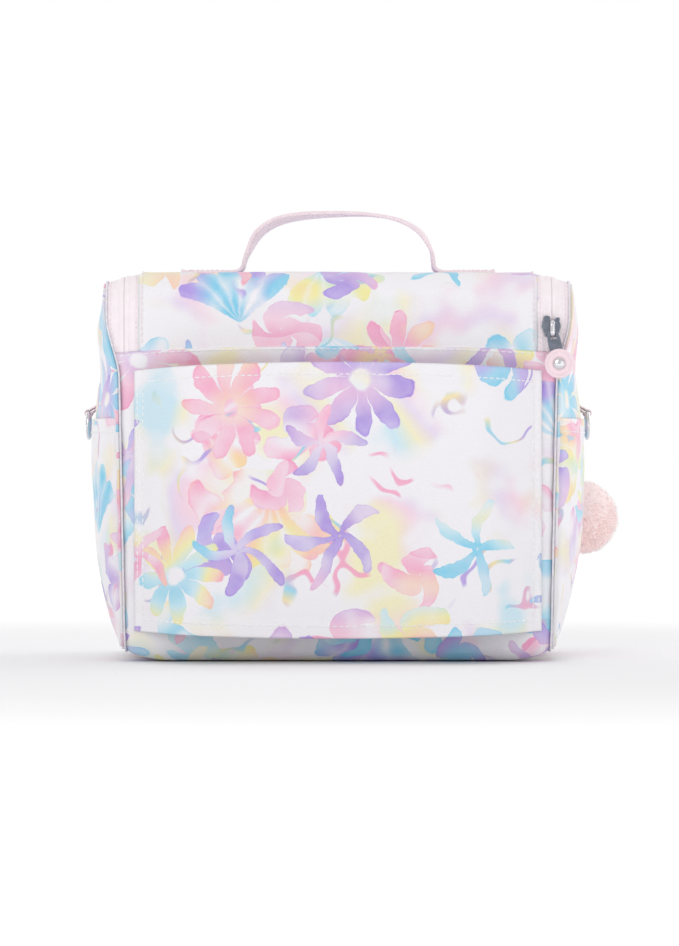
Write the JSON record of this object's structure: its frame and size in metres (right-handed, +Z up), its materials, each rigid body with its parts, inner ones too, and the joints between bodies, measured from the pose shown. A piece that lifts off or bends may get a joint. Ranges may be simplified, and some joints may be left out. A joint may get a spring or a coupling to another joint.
{
  "type": "boxy soft toiletry bag with trolley sleeve",
  "caption": "Boxy soft toiletry bag with a zip-round lid, webbing top handle, trolley sleeve on its back, side slip pockets with ring loops, and a pompom charm.",
  "frame": {"origin": "centre of the bottom face, on the floor the bag stands on", "axes": "+Z up, +X to the right seen from the back (the trolley sleeve side), -Y out of the back"},
  "size_m": [0.2965, 0.2001, 0.2402],
  "materials": {
    "print_fabric": "satin",
    "lining_fabric": "satin",
    "zip_tape": "matte",
    "zip_teeth": "satin",
    "pink_webbing": "matte",
    "seam_piping": "matte",
    "grey_metal": "satin",
    "silver_metal": "polished",
    "pink_rubber": "matte",
    "board_plastic": "matte",
    "pompom_fur": "matte"
  },
  "bodies": {
    "bag": {"back_panel": "print_fabric", "base_panel": "print_fabric", "front_panel": "print_fabric", "hinge_strip": "print_fabric", "left_gusset": "print_fabric", "right_gusset": "print_fabric", "side_pocket_left": "print_fabric", "side_pocket_right": "print_fabric", "seam_piping_left": "seam_piping", "seam_piping_right": "seam_piping", "body_lining": "lining_fabric", "base_board": "board_plastic", "zip_tape_body": "zip_tape", "zip_teeth_body": "zip_teeth", "trolley_sleeve": "print_fabric", "d_ring_tab_left": "pink_webbing", "d_ring_tab_right": "pink_webbing", "charm_tab": "pink_webbing"},
    "lid": {"lid_panel": "print_fabric", "lid_lining": "lining_fabric", "zip_tape_lid": "zip_tape", "zip_teeth_lid": "zip_teeth", "handle_tail_left": "pink_webbing", "handle_tail_right": "pink_webbing"},
    "handle": {"handle_strap": "pink_webbing"},
    "slider": {"zip_slider": "grey_metal", "slider_core": "grey_metal", "slider_bridge": "silver_metal"},
    "puller": {"puller_plate": "grey_metal", "pull_disc": "pink_rubber", "pull_rivet": "silver_metal"},
    "ring_left": {"d_ring_left": "silver_metal"},
    "ring_right": {"d_ring_right": "silver_metal"},
    "charm": {"charm_ring": "silver_metal", "charm_cord": "pink_webbing", "pompom": "pompom_fur"}
  },
  "joints": [
    {"name": "lid_hinge", "type": "hinge", "parent": "bag", "child": "lid", "pos_m": [0, -0.075, 0.188], "axis": [1, 0, 0], "range_deg": [0, 100]},
    {"name": "handle_fold", "type": "hinge", "parent": "lid", "child": "handle", "pos_m": [0, 0, 0.2205], "axis": [1, 0, 0], "range_deg": [-70, 70], "stiffness_Nm_per_rad": 0.02},
    {"name": "slider_run", "type": "slide", "parent": "bag", "child": "slider", "axis": [0, 0, 1], "range_m": [-0.003, 0.005]},
    {"name": "puller_swing", "type": "hinge", "parent": "slider", "child": "puller", "pos_m": [0.1125, -0.07672, 0.1728], "axis": [-1, 0, 0], "range_deg": [0, 85]},
    {"name": "ring_left_swing", "type": "hinge", "parent": "bag", "child": "ring_left", "pos_m": [-0.1353, 0, 0.1315], "axis": [0, 1, 0], "range_deg": [0, 120]},
    {"name": "ring_right_swing", "type": "hinge", "parent": "bag", "child": "ring_right", "pos_m": [0.1353, 0, 0.1315], "axis": [0, -1, 0], "range_deg": [0, 120]},
    {"name": "charm_swing", "type": "hinge", "parent": "bag", "child": "charm", "pos_m": [0.1219, 0.0776, 0.121], "axis": [0.7071, -0.7071, 0], "range_deg": [0, 60]}
  ]
}
